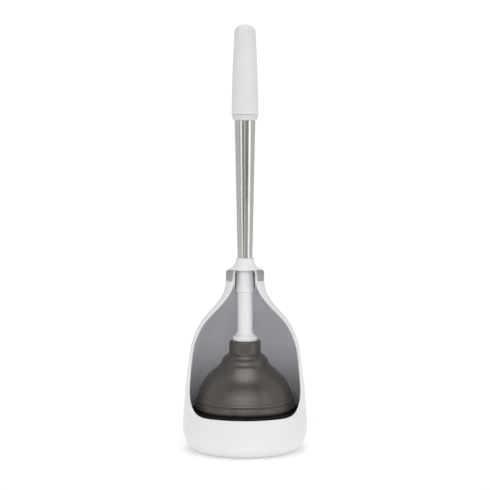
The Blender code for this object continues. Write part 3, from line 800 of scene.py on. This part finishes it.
def make_base_hardware():
    """The four screws and the four rubber feet under the base plate."""
    seat = span("base_plate")[1] - GAP
    for i in range(1, 5):
        node = f"base_screw_{i}"
        place = middle(node)
        low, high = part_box(node)
        head = (high.x - low.x) / 2 / MM
        bottom, top = low.z / MM, high.z / MM
        outline = [(0, top), (0.9, top), (1.8, top - 2.0), (1.8, seat), (head, seat, 0.2)]
        outline += [(head, seat - 1.0, 0.6), (head - 1.1, bottom, 0.5), (0, bottom)]
        build = turned(outline, SMALL_STEPS, place=place)
        piece = new_piece(f"pan_screw_{i}", build, "zinc", "holder", [node])
        cross_recess(piece, place, bottom, 4.0, 1.2)
    for i in range(1, 5):
        node = f"foot_{i}"
        place = middle(node)
        low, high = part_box(node)
        radius = (high.x - low.x) / 2 / MM
        top = high.z / MM
        outline = [(0, top), (3.0, top, 0.4), (3.0, seat), (radius, seat, 0.4), (radius, 0, 0.9)]
        outline += [(radius - 2.2, 0, 0.2), (radius - 2.6, 0.5, 0.3), (0, 0.5)]
        build = turned(outline, SMALL_STEPS, place=place)
        piece = new_piece(f"rubber_foot_{i}", build, "foot", "holder", [node])
        weighted(piece)


def finish_kept_nodes():
    """The CAD nodes that show as they are, or that lie inside, get their own materials."""
    kept = {"tie_rod": "zinc", "tie_nut": "zinc", "tie_washer": "zinc", "base_plate": "black"}
    for node, material in kept.items():
        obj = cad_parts[node]
        obj.data.materials.clear()
        obj.data.materials.append(MATERIALS[material])


# ---------------------------------------------------------------- stage, light and camera

ROOM_LEVEL = 0.60  # brightness of the room round the object
FRONT_LEVEL = 0.20
FRONT_SIDE = 62  # degrees to each side that the front reaches
BELOW_LEVEL = 0.20
WHITE_LEVEL = 1.05  # what the camera sees behind the object
FLOOR_RADIUS = 1.5
FLOOR_GLOW = 0.22
CAMERA_PLACE = (0.0, -2.18, 0.463)
CAMERA_TILT = 4.41  # degrees below level
CAMERA_LENS = 112.0
CAMERA_SENSOR = 36.0
# Each light: its middle, half width and softness in degrees, across (0 is the front) and up, and its power.
PANELS = [
    ((-44, 9, 4), (12, 24, 10), 1.25),
    ((54, 10, 4), (12, 24, 10), 1.60),
    ((-3, 7, 5), (0, 15, 8), 0.50),
    ((0, 30, 12), (25, 11, 6), 3.0),
    ((0, 182, 1), (85, 11, 7), 3.6),
]


def make_floor():
    """A pale round floor, lit from within a little as a light table is."""
    nodes = Nodes("pale_floor")
    tone = nodes.spread(nodes.noise(3, 2), 0, 1)
    nodes.put("Base Color", nodes.mix(tone, (0.86, 0.86, 0.86), (0.88, 0.88, 0.88)))
    nodes.put("Roughness", 0.9)
    nodes.put("Specular IOR Level", 0.1)
    nodes.put("Emission Color", (1, 1, 1, 1))
    nodes.put("Emission Strength", FLOOR_GLOW)
    build = bmesh.new()
    bmesh.ops.create_circle(build, cap_ends=True, segments=96, radius=FLOOR_RADIUS)
    mesh = bpy.data.meshes.new("floor")
    build.to_mesh(mesh)
    build.free()
    mesh.materials.append(nodes.material)
    floor = bpy.data.objects.new("floor", mesh)
    bpy.context.scene.collection.objects.link(floor)


def make_studio():
    """A room with soft strips left, right and in the middle, a box above them and a light overhead."""
    world = bpy.data.worlds.new("studio")
    bpy.context.scene.world = world
    world.use_nodes = True
    tree = world.node_tree
    tree.nodes.clear()

    def node(kind, inputs=(), **settings):
        made = tree.nodes.new(kind)
        for key, value in settings.items():
            setattr(made, key, value)
        for key, value in dict(inputs).items():
            if isinstance(value, bpy.types.NodeSocket):
                tree.links.new(value, made.inputs[key])
            else:
                made.inputs[key].default_value = value
        return made

    def maths(operation, *values):
        return node("ShaderNodeMath", enumerate(values), operation=operation).outputs[0]

    def hump(angle, centre, half_width, soft):
        """1 inside a stretch of angle, 0 outside it, with soft ends."""
        off = maths("ABSOLUTE", maths("SUBTRACT", angle, centre))
        ends = {"Value": off, "From Min": half_width - soft, "From Max": half_width + soft}
        ends |= {"To Min": 1, "To Max": 0}
        return node("ShaderNodeMapRange", ends, interpolation_type="SMOOTHSTEP").outputs["Result"]

    way = node("ShaderNodeTexCoord").outputs["Generated"]
    parts = node("ShaderNodeSeparateXYZ", {"Vector": way}).outputs
    turn = maths("DEGREES", maths("ARCTAN2", parts["X"], maths("MULTIPLY", parts["Y"], -1.0)))
    rise = maths("DEGREES", maths("ARCSINE", parts["Z"]))
    level = maths("MULTIPLY_ADD", hump(turn, 0, FRONT_SIDE, 8), FRONT_LEVEL - ROOM_LEVEL, ROOM_LEVEL)
    level = maths("MULTIPLY_ADD", hump(rise, -90, 85, 6), BELOW_LEVEL - FRONT_LEVEL, level)
    for across, up, power in PANELS:
        share = maths("MULTIPLY", hump(turn, *across), hump(rise, *up))
        level = maths("MULTIPLY_ADD", share, power, level)
    seen = node("ShaderNodeLightPath").outputs["Is Camera Ray"]
    shown = node("ShaderNodeMix", {0: seen, 2: level, 3: WHITE_LEVEL}).outputs[0]
    colour = node("ShaderNodeCombineColor", {"Red": shown, "Green": shown, "Blue": shown}).outputs[0]
    background = node("ShaderNodeBackground", {"Color": colour, "Strength": 1.0})
    output = node("ShaderNodeOutputWorld")
    tree.links.new(background.outputs[0], output.inputs["Surface"])


def make_camera():
    """A long lens a little above the middle of the object, looking slightly down on it."""
    camera = bpy.data.cameras.new("camera")
    camera.sensor_width = CAMERA_SENSOR
    camera.lens = CAMERA_LENS
    camera.dof.use_dof = False
    holder = bpy.data.objects.new("camera", camera)
    holder.location = CAMERA_PLACE
    holder.rotation_euler = (math.radians(90 - CAMERA_TILT), 0.0, 0.0)
    bpy.context.scene.collection.objects.link(holder)
    bpy.context.scene.camera = holder
    bpy.context.scene.view_settings.view_transform = "Standard"


make_camera()
make_studio()
make_floor()
make_grip()
make_ferrule()
make_tube()
make_collar()
make_stem()
make_cup()
make_cup_fastening()
make_shell()
make_liner()
make_band()
make_guide()
make_tray()
make_base_hardware()
finish_kept_nodes()
